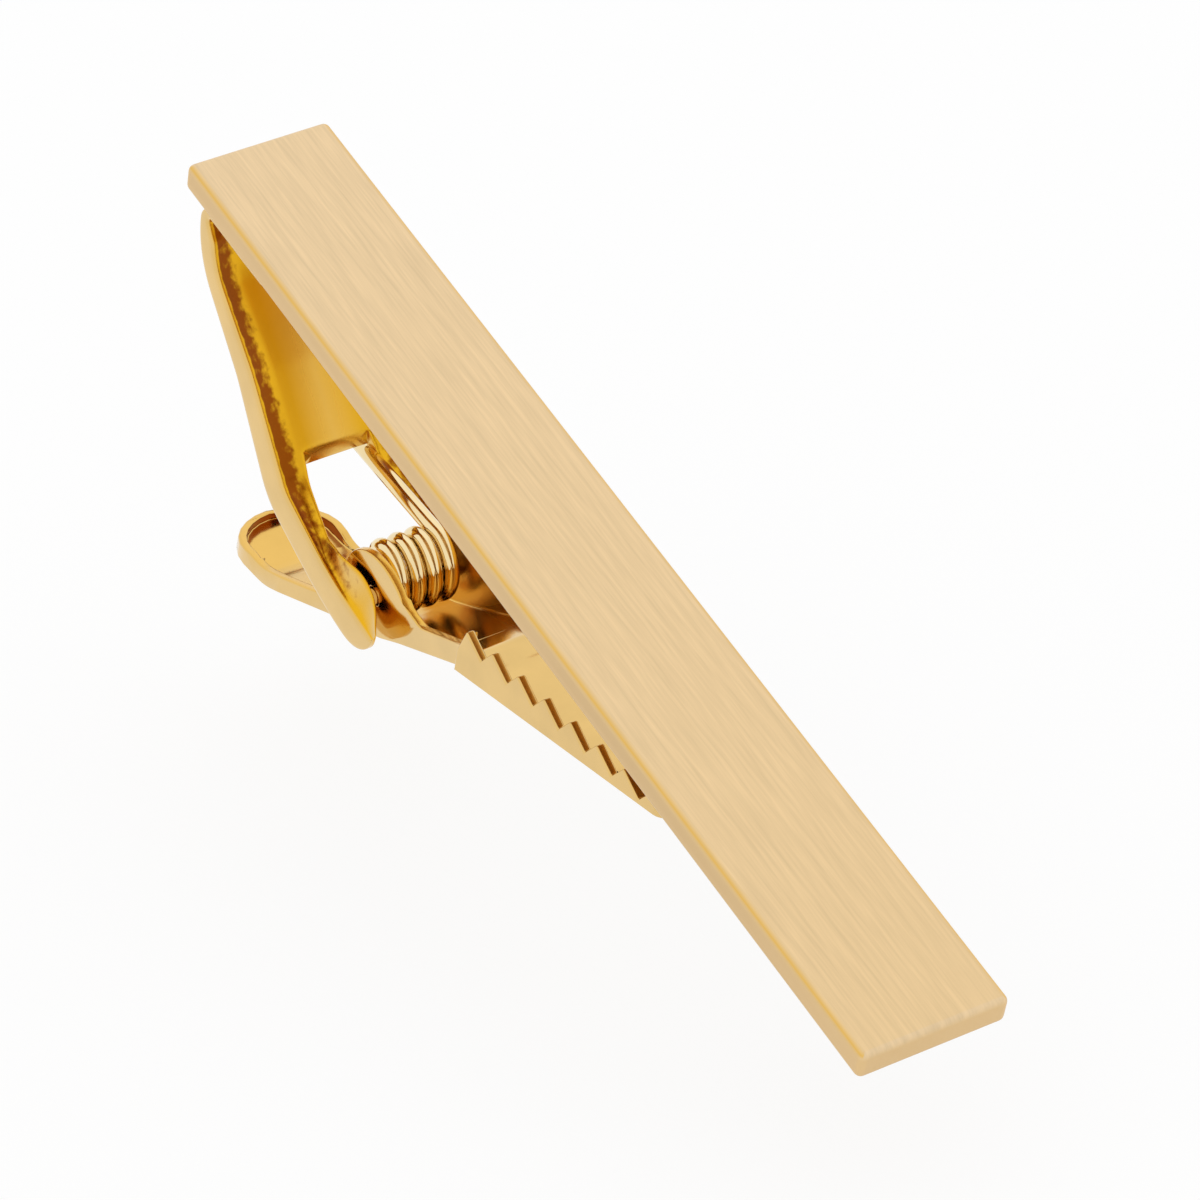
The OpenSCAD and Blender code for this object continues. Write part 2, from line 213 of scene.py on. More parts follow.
def satin_gold(name, look):
    """Champagne gold with fine brushing along the bar, painted shade on its sides and a painted reflection along
    the front's rounded edges
    """
    hair_scale, band_scale, band_share = (330, 6400, 2600), (130, 3000, 900), 0.35
    contrast = 0.1 * look.streaks
    material, tree, shader = new_material(name)
    shader.inputs["Metallic"].default_value = 1.0
    place = add_node(tree, "ShaderNodeTexCoord", {}).outputs["Object"]
    turn = add_node(
        tree, "ShaderNodeMapping", {"Vector": place, "Rotation": (0, TILT, 0)}, vector_type="TEXTURE"
    )
    along = turn.outputs["Vector"]
    hair = noise(tree, stretched(tree, along, hair_scale), scale=1.0, detail=3.0)
    band = noise(tree, stretched(tree, along, band_scale), scale=1.0, detail=2.0)
    both = add_node(tree, "ShaderNodeMix", {0: band_share, 2: hair, 3: band}, data_type="FLOAT").outputs[0]
    darker, lighter = opaque(look.satin, 1 - contrast), opaque(look.satin, 1 + contrast)
    front = two_tones(tree, both, (0.3, darker), (0.7, lighter))
    # Painted shade: the bar's sides take a deeper, darker gold than its front
    sides = blended(tree, front, opaque(look.satin_side_shade), painted(tree, "side"))
    # Painted reflection: a deeper yellow along the front's rounded edges
    with_edge_reflection = blended(tree, sides, opaque(look.satin_edge_reflection), painted(tree, "line"))
    tree.links.new(with_edge_reflection, shader.inputs["Base Color"])
    tree.links.new(spread_over(tree, both, 0.34, 0.5), shader.inputs["Roughness"])
    add_bump(tree, shader, hair, strength=0.25, distance=0.00003)
    return material


def polished_gold(name, plain, look):
    """Bright gold plating, a little uneven, duller in its hollows, with a deeper gold painted there as light
    reflected between gold faces, and painted dark brown reflections in places
    """
    dullness, grain_share, dark_start, dark_full = 0.28, 0.5, 0.68, 0.92
    material, tree, shader = new_material(name)
    shader.inputs["Metallic"].default_value = 1.0
    place = add_node(tree, "ShaderNodeTexCoord", {}).outputs["Object"]
    cloud = noise(tree, place, scale=420.0, detail=4.0)
    rough = spread_over(tree, cloud, look.polish_roughness * 0.7, look.polish_roughness * 1.4)
    dull = worked_out(tree, "MULTIPLY_ADD", painted(tree, "hollow"), dullness, rough)
    tree.links.new(dull, shader.inputs["Roughness"])
    clouded = two_tones(tree, cloud, (0.35, opaque(plain, 0.95)), (0.65, opaque(plain, 1.03)))
    # Painted reflection: a deeper gold in the hollows stands in for light reflected between gold faces
    hollow = blended(tree, clouded, opaque(look.hollow), painted(tree, "hollow"))
    # The painted dark brown reflection has a grainy edge: the painted share and a fine grain together pass a
    # threshold
    grain = noise(tree, place, scale=2600.0, detail=3.0)
    painted_dark_reflection = worked_out(tree, "MULTIPLY_ADD", grain, grain_share, painted(tree, "painted_dark_reflection"))
    edge = add_node(
        tree, "ShaderNodeMapRange", {"Value": painted_dark_reflection, "From Min": dark_start, "From Max": dark_full},
        interpolation_type="SMOOTHSTEP",
    )
    dark_reflected = blended(tree, hollow, opaque(look.painted_dark_reflection), edge.outputs["Result"])
    tree.links.new(dark_reflected, shader.inputs["Base Color"])
    ripple = noise(tree, place, scale=900.0, detail=2.0)
    add_bump(tree, shader, ripple, strength=0.1, distance=0.00004)
    return material


def shared_gold(slot):
    """The finish of a slot, made once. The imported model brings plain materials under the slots' own names"""
    name = slot + "_finish"
    if name not in bpy.data.materials:
        look = bpy.context.scene.clip_finish
        if slot == "satin_gold":
            satin_gold(name, look)
        else:
            polished_gold(name, look.spring if slot == "spring_gold" else look.polished, look)
    return bpy.data.materials[name]


# The bracket's form

# Radius of the flanks' front edges, and thickness of the flanks
RIM = 0.14
FLANK = 0.5
# Share of a rounded corner's radius at which its middle point lies
CORNER = 0.3
# Where the bracket's channel faces
CHANNEL_FACING = Vector((0.6, 0, 0.8))


def bracket_stations(size):
    """Stations along the bracket's rear edge: place, heading and distance. Marks are where its legs end"""
    # The bend's distance from the bar's end, the straight after it, and the back of the bar with its solder
    bend_start, bend_rest, bar_back = 1.0, 0.1, -1.46
    upper_arm, lower_arm, rail = 3.45, 4.25, 2.65
    waist, knee, bow = 4.6, 3.5, 15.7

    def arc(radius, turn, steps):
        return (radius * abs(math.radians(turn)), turn, steps)

    legs = [
        (size.foot, 0.0, 2),
        arc(size.bend, 90.0, 10),
        (bend_rest, 0.0, 1),
        arc(size.shoulder, 90 - size.arm_angle, 16),
        (upper_arm, 0.0, 8),
        arc(waist, size.arm_angle - size.lower_angle, 3),
        (lower_arm, 0.0, 12),
        arc(knee, size.lower_angle - size.rail_angle, 12),
        (rail, 0.0, 8),
        arc(bow, 13.0, 10),
    ]
    at = Vector((bend_start + size.bend + size.foot, bar_back))
    heading, distance = 180.0, 0.0
    stations = [(at.copy(), heading, distance)]
    marks = []
    for length, turn, steps in legs:
        for _ in range(steps):
            middle = math.radians(heading + turn / steps / 2)
            at = at + way(middle) * length / steps
            heading += turn / steps
            distance += length / steps
            stations.append((at.copy(), heading, distance))
        marks.append(distance)
    # The rails' round ends, with stations closer and closer together, the last a little before the very end
    for k in range(1, 13):
        beyond = size.tip * math.sin(math.radians(90 * k / 12.4))
        stations.append((at + way(math.radians(heading)) * beyond, heading, distance + beyond))
    return stations, marks


class BracketSection:
    """The bracket's cross-section at each distance along its rear edge, in tables of distances and values"""

    def __init__(self, size, marks):
        foot_end, bend_end, _, shoulder_end, arm_end, _, knee, rail, bow, tip = marks
        self.size = size
        self.half = size.width / 2
        self.arm_end = arm_end
        self.tip = tip
        self.cut = None
        # The web's height over the rear edge, the depth of its dish and of the rails' trough, and how sharply
        # the lips curl and how high they rise
        self.height = [
            (foot_end, size.sheet), (bend_end, 0.78), (bend_end + 0.85, 1.25), (shoulder_end, 1.35),
            (knee, 2.0),
        ]
        self.dish = [(foot_end, 0.0), (bend_end, 0.2), (shoulder_end, 0.5), (arm_end, 0.5), (knee, 0.15)]
        self.trough = [(knee, 0.0), (rail + 1, 0.22), (tip - 1.5, 0.22), (tip, 0.12), (tip + 2.2, 0.0)]
        self.curl = [(rail, 2.0), (tip - 2, 1.8), (tip, 1.3), (tip + 2.2, 1.0)]
        self.rise = [
            (tip - 3.9, 0.0), (tip - 3.2, 0.3), (tip - 2.1, 0.78), (tip - 1.1, 1.2), (tip - 0.5, 1.36),
            (tip + 0.1, 1.34), (tip + 0.62, 1.15), (tip + 1.41, 0.84), (tip + 1.9, 0.52), (tip + 2.2, 0.3),
        ]
        # Half width of the flat floor of the dish
        self.dish_floor = [(knee, self.half - RIM - 1.46), (bow, 2.33)]
        # Half width of the window, by the place along the bar
        self.window = [
            (8.9, 1.6), (9.2, 1.65), (13.6, 2.35), (16.7, 2.35), (17.4, 2.58), (18.1, 2.95), (18.3, 3.05),
        ]

    def front(self, s, y, inner):
        """Height of the front at a place across the section, which rises to a lip at its inner edge"""
        u = (self.half - RIM - y) / (self.half - RIM - inner)
        u = min(1.0, max(0.0, u))
        dish = between(self.dish, s)
        lift = between(self.rise, s)
        lift += dish * min(1.0, lift / 0.2)
        sag = dish * math.sin(math.pi / 2 * u) + between(self.trough, s) * math.sin(math.pi * u)
        return between(self.height, s) - sag + lift * u ** between(self.curl, s)

    def web_x(self, station):
        """How far along the bar the front of the web is at a station"""
        at, heading, s = station
        return at.x + way(math.radians(heading + 90)).x * (between(self.height, s) - between(self.dish, s))

    def window_edge(self, station):
        """Half width of the window beside a station"""
        return between(self.window, self.web_x(station))

    def cut_at_window(self, stations):
        """Puts a station where the front of the web reaches the window's top, and says which one it is"""
        top = self.size.window_x
        split = next(i for i, st in enumerate(stations) if st[2] > self.arm_end and self.web_x(st) > top)
        before, after = stations[split - 1], stations[split]
        share = (top - self.web_x(before)) / (self.web_x(after) - self.web_x(before))
        place = before[0].lerp(after[0], share)
        heading = before[1] + (after[1] - before[1]) * share
        self.cut = before[2] + (after[2] - before[2]) * share
        beyond = [st for st in stations[split:] if st[2] > self.cut + 0.12]
        return stations[:split] + [(place, heading, self.cut)] + beyond, split

    def ring(self, station, inner):
        """One side of the section, from the rear round the flank to the front, and the wall of the window"""
        at, heading, s = station
        half, tip = self.half, self.size.tip
        room = math.sqrt(max(0.0, tip**2 - max(0.0, s - self.tip) ** 2))
        low = tip - room
        high = between(self.height, s)
        top = max(low + 0.05, high)
        hollow = max(low, high - between(self.dish, s) - self.size.sheet)
        wall = half - FLANK
        hollow = low + (hollow - low) * min(1.0, max(0.0, (wall - inner) / 0.3))
        wall = max(wall, inner)
        edge = min(0.11, (top - low) / 3, (half - inner) / 4)
        fillet = min(0.25, hollow - low)
        start = inner + edge
        rear = [
            (start, hollow),
            (wall - fillet, hollow),
            (wall - CORNER * fillet, hollow - CORNER * fillet),
            (wall, hollow - fillet),
            (wall, low + (hollow - fillet - low) * 0.4),
            (wall + CORNER * edge, low + min(CORNER * edge, hollow - low)),
            (wall + edge, low),
        ]
        rear = [(max(start, y), w) for y, w in rear]
        flank = [
            (half - edge, low),
            (half - CORNER * edge, low + CORNER * edge),
            (half, low + edge),
            (half, (low + top) / 2),
        ]
        crest = [(half, max(low + edge, top - RIM)), (half - RIM * CORNER, top - RIM * CORNER)]
        face = [half - RIM + (start - half + RIM) * k / 8 for k in range(9)]
        face = [(y, min(self.front(s, y, start), tip + room)) for y in face]
        lip = face[-1][1]
        side = [
            (inner + CORNER * edge, lip - CORNER * edge),
            (inner, lip - edge),
            (inner, max(hollow, low) + edge),
            (inner + CORNER * edge, hollow + CORNER * edge),
        ]
        # The rear lip of the window is drawn down along the sheet, so that the cut shows from the front
        drawn = 0.7 * max(0.0, 1 - abs(s - self.cut) / 1.4)
        pull = [drawn * share for share in (1, 0.6, 0.3, 0.1, 0, 0, 0)]
        pull += [0] * (len(flank) + len(crest) + len(face)) + [0, 0, drawn, drawn]
        ahead, aside = way(math.radians(heading)), way(math.radians(heading + 90))
        spots = []
        for (y, w), shift in zip(rear + flank + crest + face + side, pull):
            spot = at + aside * w + ahead * shift
            spots.append(Vector((spot.x, y, spot.y)))
        return spots[: -len(side)], spots[-len(side) :]


def grow(bm, line, edges, spots):
    """Extrudes a line of edges and sets its new points"""
    grown = bmesh.ops.extrude_edge_only(bm, edges=edges)["geom"]
    fresh = {g for g in grown if isinstance(g, bmesh.types.BMVert)}
    line = [next(e.other_vert(v) for e in v.link_edges if e.other_vert(v) in fresh) for v in line]
    for vert, spot in zip(line, spots):
        vert.co = spot
    return line


def on_middle(spot):
    """The point beside a place, in the middle of the clip"""
    return Vector((spot.x, 0.0, spot.z))


def bracket_mesh(size):
    """The bracket, grown from section to section along its rear edge, and mirrored"""
    stations, marks = bracket_stations(size)
    section = BracketSection(size, marks)
    stations, split = section.cut_at_window(stations)
    bm = bmesh.new()
    line = None
    for station in stations[: split + 1]:
        around, wall = section.ring(station, between(section.dish_floor, station[2]))
        spots = [on_middle(around[0]), *around, on_middle(around[-1])]
        if line is None:
            line = [bm.verts.new(p) for p in spots]
            bm.faces.new(line)
        else:
            line = grow(bm, line, edges, spots)
        edges = [bm.edges.get(pair) for pair in zip(line, line[1:])]
    # The cut at the top of the window, and from there on the rail alone
    corners = [bm.verts.new(p) for p in wall]
    bm.faces.new([line[0], line[1], *reversed(corners), line[-2], line[-1]])
    line = line[1:-1] + corners
    for station in stations[split + 1 :]:
        edges = [bm.edges.get(pair) for pair in zip(line, line[1:] + line[:1])]
        around, wall = section.ring(station, section.window_edge(station))
        line = grow(bm, line, edges, around + wall)
    bm.faces.new(line)
    bmesh.ops.mirror(bm, geom=bm.verts[:] + bm.edges[:] + bm.faces[:], axis="Y", merge_dist=0.0001)
    bmesh.ops.remove_doubles(bm, verts=bm.verts, dist=0.002)
    bmesh.ops.recalc_face_normals(bm, faces=bm.faces)
    return bm


def window_top(bm, size):
    """The sharp edges of the cut at the top of the window"""
    edges = []
    for edge in sharp_edges(bm, 55):
        middle = (edge.verts[0].co + edge.verts[1].co) / 2
        if abs(middle.x - size.window_x) < 0.6 and abs(middle.y) < 1.7 and middle.z < -8:
            edges.append(edge)
    return edges


def bracket_interreflection_and_dullness(at, normal, half):
    """Where a deeper gold is painted on the bracket as light reflected between gold faces, and the plating is
    duller: in its channel, a little less in the middle
    """
    if abs(at.y) > half - RIM + 0.01 or at.z > -2:
        return 0.0
    return min(1.0, (normal.dot(CHANNEL_FACING) - 0.1) * 2.5) * between([(0.9, 0.6), (1.5, 1.0)], abs(at.y))


def bracket_dark_reflection(at, normal):
    """Where a dark brown reflection is painted on the bracket: along the sides of its channel"""
    across = [(1.2, 0.0), (1.7, 0.25), (2.1, 0.5), (2.5, 0.72), (2.95, 0.8), (3.04, 0.5), (3.08, 0.0)]
    along = [(0.0, 0.6), (3.0, 0.95), (6.0, 0.85), (9.0, 1.0), (12.0, 0.8), (15.5, 0.6), (18.0, 0.2)]
    if normal.dot(CHANNEL_FACING) < 0.1 or at.z > -2:
        return 0.0
    return between(across, abs(at.y)) * between(along, at.x)


# The lever's form


def cut_across(bm, spot, facing):
    """New edges round a piece, in the plane through a place of its side view"""
    bmesh.ops.bisect_plane(
        bm, geom=bm.verts[:] + bm.edges[:] + bm.faces[:], plane_co=(spot.x, 0, spot.y),
        plane_no=(facing.x, 0, facing.y), dist=1e-5,
    )


def round_ears(bm):
    """Gives the ears' free edges a round top on an arc, down to the valley before the teeth"""
    middle, radius, valley = Vector((16.92, -12.83)), 3.0, -10.35
    first, last, lowest, pin_room = 13.9, 19.6, -12.4, 0.6
    for x in (14.15, 14.3, 14.5, 14.8, 15.1, 15.4, 15.7, 16.05):
        cut_across(bm, Vector((x, 0)), Vector((1, 0)))
    for vert in bm.verts:
        x, z = vert.co.x, vert.co.z
        free = any(abs(face.normal.y) < 0.5 for face in vert.link_faces)
        from_pin = math.hypot(x - PIVOT.x, z - PIVOT.z)
        if free and first < x < last and z > lowest and from_pin > pin_room:
            top = middle.y + math.sqrt(max(0.0, radius**2 - (x - middle.x) ** 2))
            vert.co.z = top if x < middle.x else max(valley, top)


def lower_tail(bm):
    """Draws the tail's walls down behind the pad"""
    heel, along = Vector((8.067, -19.558)), way(math.radians(31))
    upward = Vector((-along.y, along.x))
    sheet, pad_slope, ears_start, highest = 0.4, 0.344, 6.7, 3
    # Shares of the walls' height on each side, by the place along the tail from its heel
    far = [
        (-4.4, 0.5), (-2.4, 0.7), (-0.9, 0.95), (-0.4, 0.8), (0.0, 0.5), (0.3, 0.3),
        (0.6, 0.15), (1.0, 0.1), (4.4, 0.1), (5.6, 0.4), (ears_start, 1.0),
    ]
    near = [(-4.4, 0.6), (-2.4, 0.85), (-0.9, 1.0), (1.0, 0.85), (4.4, 0.85), (ears_start, 1.0)]
    for s in (-0.9, -0.4, 0.0, 0.3, 0.6, 1.0, 4.4, 5.0, 5.6, 6.2):
        cut_across(bm, heel + along * s, along)
    for vert in bm.verts:
        place = Vector((vert.co.x, vert.co.z)) - heel
        s, h = place.dot(along), place.dot(upward)
        low = sheet + max(0.0, -s) * pad_slope
        if s < ears_start and low + 0.12 < h < highest:
            h = low + (h - low) * between(far if vert.co.y > 0 else near, s)
            spot = heel + along * s + upward * h
            vert.co.x, vert.co.z = spot.x, spot.y


def lever_interreflection_and_dullness(at, normal):
    """Where a deeper gold is painted on the lever as reflected light, and the plating is duller: inside the
    channel, less in the jaw and pad, and over the ears
    """
    inward = -normal.y * at.y / abs(at.y or 1)
    if abs(at.y) < 2.5 and at.x > 9:
        return max(inward, normal.z - 0.2) * (0.8 if at.x < 21 else 0.15)
    if at.x < 8.5 and abs(at.y) < 2.4 and normal.z > 0.5:
        return 0.35
    return 0.8 if 14.3 < at.x < 19 and at.z > -13 and inward < -0.5 else 0.0


def pad_dark_reflection(at, normal):
    """Where a dark brown reflection is painted on the lever: on the inner walls of the pad"""
    outward = Vector((at.x - 6.0, at.y, 0))
    if at.x > 8.5 or outward.length > 2.6:
        return 0.0
    return -1.2 * normal.dot(outward.normalized()) - 0.25


# Sizes and finishes that a user may change


class ClipFinish(bpy.types.PropertyGroup):
    satin: FloatVectorProperty(
        name="Satin gold", description="Colour of the brushed bar", subtype="COLOR",
        default=(0.795, 0.6, 0.36), min=0, max=1,
    )
    # Painted shade: the colour given to the bar's sides for how light falls on them
    satin_side_shade: FloatVectorProperty(
        name="Bar's sides", description="Colour of the bar's sides", subtype="COLOR",
        default=(0.78, 0.55, 0.275), min=0, max=1,
    )
    # Painted reflection: the deeper yellow given to the front's rounded edges
    satin_edge_reflection: FloatVectorProperty(
        name="Bar's edges", description="Colour along the front's rounded edges", subtype="COLOR",
        default=(0.8, 0.5, 0.12), min=0, max=1,
    )
    streaks: FloatProperty(name="Streaks", description="Strength of the brushing", default=1.0, min=0, max=3)
    polished: FloatVectorProperty(
        name="Polished gold", description="Colour of the clasp's plating", subtype="COLOR",
        default=(0.765, 0.515, 0.185), min=0, max=1,
    )
    spring: FloatVectorProperty(
        name="Spring", description="Colour of the plated wire", subtype="COLOR",
        default=(0.88, 0.71, 0.4), min=0, max=1,
    )
    # Painted reflection: the deeper gold painted in hollows for light reflected between gold faces
    hollow: FloatVectorProperty(
        name="Hollows", description="Deeper colour of the plating in hollows", subtype="COLOR",
        default=(0.84, 0.455, 0.018), min=0, max=1,
    )
    # Painted reflection: the dark brown painted along the bracket's channel and on the pad's inner walls
    painted_dark_reflection: FloatVectorProperty(
        name="Stain", description="Brown of the plating along the bracket's channel and in the pad",
        subtype="COLOR", default=(0.3, 0.075, 0.004), min=0, max=1,
    )
    polish_roughness: FloatProperty(
        name="Polish", description="Roughness of the polished plating", default=0.07, min=0, max=1
    )


class BarSizes(bpy.types.PropertyGroup):
    width: FloatProperty(
        name="Width", description="Width of the bar in millimetres", default=7.0, min=4, max=10
    )
    thickness: FloatProperty(
        name="Thickness", description="Thickness of the bar in millimetres", default=1.4, min=0.8, max=2
    )
    edge: FloatProperty(
        name="Edge", description="Radius of the bar's edges in millimetres", default=0.32, min=0.05, max=0.5
    )


class BracketSizes(bpy.types.PropertyGroup):
    width: FloatProperty(
        name="Width", description="Width over the flanks in millimetres", default=6.4, min=5, max=7
    )
    sheet: FloatProperty(
        name="Sheet", description="Thickness of the sheet in millimetres", default=0.46, min=0.2, max=0.8
    )
    foot: FloatProperty(
        name="Foot", description="Length of the soldered foot in millimetres", default=6.0, min=3, max=8
    )
    bend: FloatProperty(
        name="Bend", description="Radius of the tight bend in millimetres", default=0.92, min=0.6, max=1.5
    )
    shoulder: FloatProperty(
        name="Shoulder", description="Radius of the shoulder in millimetres", default=4.6, min=3, max=6
    )
    arm_angle: FloatProperty(
        name="Arm angle", description="Angle of the arm to the bar in degrees", default=43.2, min=40, max=50
    )
    lower_angle: FloatProperty(
        name="Lower angle", description="Angle of the lower arm in degrees", default=52.2, min=48, max=56
    )
    rail_angle: FloatProperty(
        name="Rail angle", description="Angle of the rails to the bar in degrees", default=17, min=14, max=20
    )
    tip: FloatProperty(
        name="Rail end", description="Radius of the rails' round ends in millimetres",
        default=2.2, min=1, max=3,
    )
    window_x: FloatProperty(
        name="Window", description="Distance of the window's top from the bar's end in millimetres",
        default=8.9, min=7, max=11,
    )


class LeverSizes(bpy.types.PropertyGroup):
    edge: FloatProperty(
        name="Edge", description="Radius of the lever's edges in millimetres",
        default=0.09, min=0.02, max=0.15,
    )


class SpringSizes(bpy.types.PropertyGroup):
    wire: FloatProperty(
        name="Wire", description="Thickness of the wire in millimetres", default=0.76, min=0.3, max=0.8
    )
    coil: FloatProperty(
        name="Coil radius", description="Mean radius of the coil in millimetres", default=1.42, min=1, max=1.5
    )
    spread: FloatProperty(
        name="Coil length", description="Distance between the middles of the end turns in millimetres",
        default=2.85, min=2, max=4,
    )
    bracket_leg_angle: FloatProperty(
        name="Upper leg", description="Angle of the leg on the bracket in degrees", default=9.0, min=0, max=20
    )
    lever_leg_angle: FloatProperty(
        name="Lower leg", description="Angle of the leg on the lever in degrees", default=38.0, min=30, max=45
    )
    leg_flare: FloatProperty(
        name="Leg flare", description="How far the upper leg leans across in millimetres",
        default=0.25, min=-1, max=1,
    )
    sides: IntProperty(name="Sides", description="Sides of the round wire", default=20, min=8, max=48)


class StageLook(bpy.types.PropertyGroup):
    lens: FloatProperty(
        name="Lens", description="Focal length of the camera in millimetres", default=185.4, min=50, max=300
    )
    key: FloatProperty(
        name="Key light", description="Power of the soft lamp in watts", default=0.02, min=0, max=50
    )
    floor_drop: FloatProperty(
        name="Floor", description="Depth of the floor under the clip in millimetres, clear of the open jaw",
        default=6.6, min=0, max=50,
    )


# One operator for each piece or group of small pieces, and one for the stage


class CLIP_OT_bar(bpy.types.Operator):
    """Make the flat brushed bar"""

    bl_idname = "clip.bar"
    bl_label = "Brushed bar"

    def execute(self, context):
        size = context.scene.clip_bar
        bm = bmesh.new()
        bmesh.ops.create_cube(bm, size=1)
        bmesh.ops.scale(bm, vec=(BAR_LENGTH, size.width, size.thickness), verts=bm.verts)
        bmesh.ops.translate(bm, vec=(BAR_LENGTH / 2, 0, -size.thickness / 2), verts=bm.verts)
        round_edges(bm, bm.edges[:], size.edge, segments=6, clamp=True)
        # Painted shade on the bar's sides, masked by their normals
        paint_points(bm, "side", lambda at, normal: 1.2 - normal.z * 1.5)
        # Painted reflection along the front's rounded edges
        paint_points(bm, "line", self.edge_reflection_share)
        piece = finished(bm, "brushed_bar", "frame", "satin_gold")
        flat = piece.modifiers.new("flat faces", "WEIGHTED_NORMAL")
        flat.weight = 100
        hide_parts("bar")
        return {"FINISHED"}

    @staticmethod
    def edge_reflection_share(at, normal):
        """The middle of the front's rounded edges, along the bar and not across its ends, where a deeper yellow is
        painted as the edges' reflection
        """
        return 1.15 - abs(normal.z - 0.72) / 0.28 if abs(normal.y) > abs(normal.x) else 0.0


class CLIP_OT_bracket(bpy.types.Operator):
    """Make the pressed bracket: foot, bend, dished arm, window and rails"""

    bl_idname = "clip.bracket"
    bl_label = "Pressed bracket"

    def execute(self, context):
        size = context.scene.clip_bracket
        bm = bracket_mesh(size)
        round_edges(bm, window_top(bm, size), 0.05, segments=2, clamp=True)
        # Painted reflection: a deeper gold in the channel, where the plating is also duller
        paint_points(bm, "hollow", lambda at, normal: bracket_interreflection_and_dullness(at, normal, size.width / 2))
        # Painted reflection: dark brown along the sides of the channel
        paint_points(bm, "painted_dark_reflection", bracket_dark_reflection)
        piece = finished(bm, "pressed_bracket", "frame", "polished_gold")
        fine = piece.modifiers.new("fine", "SUBSURF")
        fine.levels = fine.render_levels = 1
        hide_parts("bracket")
        return {"FINISHED"}


class CLIP_OT_lever(bpy.types.Operator):
    """Make the toothed lever with softly rounded edges"""

    bl_idname = "clip.lever"
    bl_label = "Toothed lever"

    def execute(self, context):
        size = context.scene.clip_lever
        bm = bmesh.new()
        bm.from_mesh(frame["nodes"]["jaw_lever"].data)
        bmesh.ops.remove_doubles(bm, verts=bm.verts, dist=0.002 * MM)
        bm.transform(STAND.inverted())
        bmesh.ops.dissolve_limit(
            bm, angle_limit=math.radians(0.6), verts=bm.verts, edges=bm.edges, use_dissolve_boundaries=False
        )
        round_ears(bm)
        lower_tail(bm)
        # Edges much shorter than the rounding would fold it, so their ends are merged first
        bmesh.ops.remove_doubles(bm, verts=bm.verts, dist=0.06)
        round_edges(bm, sharp_edges(bm, 32), size.edge, segments=3)
        # Painted reflection: a deeper gold inside the lever's channel, pad and ears, where the plating is also
        # duller
        paint_points(bm, "hollow", lever_interreflection_and_dullness)
        # Painted reflection: dark brown on the pad's inner walls
        paint_points(bm, "painted_dark_reflection", pad_dark_reflection)
        piece = finished(bm, "toothed_lever", "lever", "polished_gold")
        piece.data.set_sharp_from_angle(angle=math.radians(40))
        flat = piece.modifiers.new("flat faces", "WEIGHTED_NORMAL")
        flat.keep_sharp = True
        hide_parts("jaw_lever")
        return {"FINISHED"}


class CLIP_OT_spring(bpy.types.Operator):
    """Make the wound spring with its two legs"""

    bl_idname = "clip.spring"
    bl_label = "Wound spring"

    def execute(self, context):
        size = context.scene.clip_spring
        steps, bracket_leg, lever_leg = 120, 7.5, 5.2
        first = math.radians(90 + size.bracket_leg_angle)
        # Three full turns and the part of one that lies between the legs' directions
        turn = math.radians(360 * 3 + 90 + size.bracket_leg_angle + 90 - size.lever_leg_angle)
        # The coil sits loosely on the pin, a little towards the hinge end and the bar
        middle = Vector((PIVOT.x - 0.55, -0.03, PIVOT.z + 0.15))
        bm = bmesh.new()
        ring = bmesh.ops.create_circle(bm, cap_ends=False, segments=size.sides, radius=size.wire / 2)["verts"]
        bmesh.ops.translate(bm, vec=(size.coil, 0, 0), verts=ring)
        bmesh.ops.rotate(bm, cent=(0, 0, 0), matrix=Matrix.Rotation(-first, 3, "Y"), verts=ring)
        bmesh.ops.translate(bm, vec=(middle.x, middle.y + size.spread / 2, middle.z), verts=ring)
        start = bm.edges[:]
        spun = bmesh.ops.spin(
            bm, geom=start, cent=middle, axis=(0, 1, 0), dvec=(0, -size.spread / steps, 0),
            angle=turn, steps=steps, use_merge=False, use_normal_flip=False, use_duplicate=False,
        )
        end = [g for g in spun["geom_last"] if isinstance(g, bmesh.types.BMEdge)]
        self.add_leg(bm, start, size.bracket_leg_angle, bracket_leg, size.leg_flare)
        self.add_leg(bm, end, size.lever_leg_angle, lever_leg, 0.0)
        bmesh.ops.recalc_face_normals(bm, faces=bm.faces)
        piece = finished(bm, "wound_spring", None, "spring_gold")
        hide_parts("torsion_spring")
        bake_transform(piece)
        return {"FINISHED"}

    @staticmethod
    def add_leg(bm, edges, angle, reach, flare):
        """Draws a straight leg out of the wire's end, with a short stretch before it leans across"""
        along = way(math.radians(angle + 180))
        for part, lean in ((0.06, 0.0), (0.06, 0.0), (0.88, flare)):
            grown = bmesh.ops.extrude_edge_only(bm, edges=edges)["geom"]
            verts = [g for g in grown if isinstance(g, bmesh.types.BMVert)]
            edges = [g for g in grown if isinstance(g, bmesh.types.BMEdge) and set(g.verts) <= set(verts)]
            bmesh.ops.translate(
                bm, vec=(along.x * reach * part, lean * part, along.y * reach * part), verts=verts
            )
        cap = bmesh.ops.contextual_create(bm, geom=edges)["faces"]
        round_edges(bm, [e for f in cap for e in f.edges], 0.2, segments=4)


